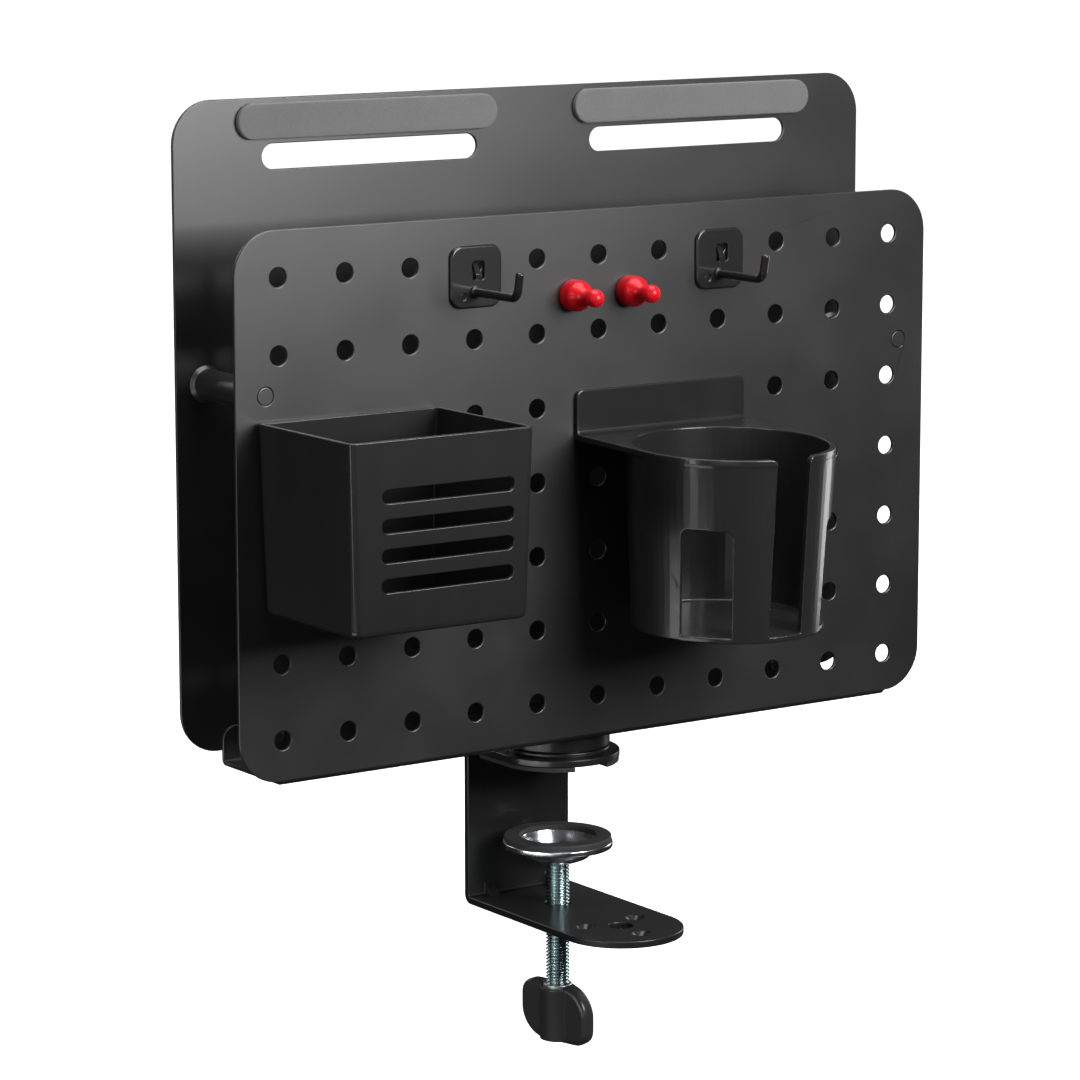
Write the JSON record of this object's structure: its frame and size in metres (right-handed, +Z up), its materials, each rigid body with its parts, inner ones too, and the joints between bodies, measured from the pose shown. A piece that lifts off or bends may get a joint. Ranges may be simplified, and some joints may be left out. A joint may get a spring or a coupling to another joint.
{
  "type": "pegboard desk organizer",
  "caption": "Clamp-on desk pegboard with a swivel foot: perforated steel panel, rear panel, pen cup, cup holder, wire hooks and magnetic pins.",
  "frame": {"origin": "centre of the desk-top contact face of the upper jaw pad, on the swivel axis and the clamp-screw axis", "axes": "+Z up, +Y from the user's side towards the back of the board, +X to the user's right"},
  "size_m": [0.339, 0.1496, 0.3977],
  "materials": {
    "sheet_black": "fine-texture satin powder coat",
    "clamp_black": "semi-gloss powder coat",
    "swivel_black": "satin black",
    "fastener_black": "black oxide",
    "washer_nylon": "nylon",
    "zinc_steel": "bright zinc plate, slightly blue",
    "rubber_black": "matt rubber",
    "knob_black": "satin moulded plastic",
    "collar_grey": "dull zinc",
    "foam_grey": "dense grey felt-faced foam",
    "cup_black": "satin moulded ABS",
    "hook_black": "semi-gloss black",
    "pin_red": "glossy injection-moulded red",
    "magnet_nickel": "nickel plate"
  },
  "bodies": {
    "clamp": {"clamp_bracket": "clamp_black", "jaw_pad": "rubber_black", "screw_nut": "clamp_black", "swivel_base": "swivel_black", "swivel_base_screws": "fastener_black", "swivel_washer": "washer_nylon", "pivot_bolt": "zinc_steel", "pivot_washer": "zinc_steel"},
    "board": {"front_pegboard": "sheet_black", "rear_panel": "sheet_black", "panel_standoffs": "sheet_black", "standoff_screws": "fastener_black", "flange_rivets": "fastener_black", "foam_pad_left": "foam_grey", "foam_pad_right": "foam_grey", "swivel_boss": "swivel_black", "boss_screws": "fastener_black"},
    "pressure_pad": {"pressure_disc": "zinc_steel", "disc_rubber_ring": "rubber_black"},
    "clamp_screw": {"clamp_screw": "zinc_steel", "knob": "knob_black", "knob_collar": "collar_grey"},
    "pen_cup": {"pen_cup": "cup_black", "pen_cup_pegs": "cup_black"},
    "cup_holder": {"cup_holder": "cup_black", "cup_holder_pegs": "cup_black"},
    "hook_left": {"hook_plate_left": "hook_black", "hook_wire_left": "hook_black"},
    "hook_right": {"hook_plate_right": "hook_black", "hook_wire_right": "hook_black"},
    "pin_left": {"pin_shell_left": "pin_red", "pin_magnet_left": "magnet_nickel"},
    "pin_right": {"pin_shell_right": "pin_red", "pin_magnet_right": "magnet_nickel"}
  },
  "joints": [
    {"name": "swivel", "type": "hinge", "parent": "clamp", "child": "board", "pos_m": [0, 0, 0.0105], "axis": [0, 0, 1], "continuous": true},
    {"name": "jaw_slide", "type": "slide", "parent": "clamp", "child": "pressure_pad", "axis": [0, 0, 1], "range_m": [-0.017, 0.0245]},
    {"name": "screw_turn", "type": "hinge", "parent": "pressure_pad", "child": "clamp_screw", "pos_m": [0, 0, -0.08], "axis": [0, 0, 1], "range_deg": [-4098, 5898]},
    {"name": "pen_cup_off", "type": "slide", "parent": "board", "child": "pen_cup", "axis": [0, -0.7071, 0.7071], "range_m": [0, 0.03]},
    {"name": "cup_holder_off", "type": "slide", "parent": "board", "child": "cup_holder", "axis": [0, -0.7071, 0.7071], "range_m": [0, 0.03]},
    {"name": "hook_left_off", "type": "slide", "parent": "board", "child": "hook_left", "axis": [0, -0.5, -0.866], "range_m": [0, 0.012]},
    {"name": "hook_right_off", "type": "slide", "parent": "board", "child": "hook_right", "axis": [0, -0.5, -0.866], "range_m": [0, 0.012]},
    {"name": "pin_left_off", "type": "slide", "parent": "board", "child": "pin_left", "axis": [0, -1, 0], "range_m": [0, 0.02]},
    {"name": "pin_right_off", "type": "slide", "parent": "board", "child": "pin_right", "axis": [0, -1, 0], "range_m": [0, 0.02]}
  ],
  "couplings": [
    {"joint": "screw_turn", "follows": "jaw_slide", "rad_per_m": 4188.8}
  ]
}
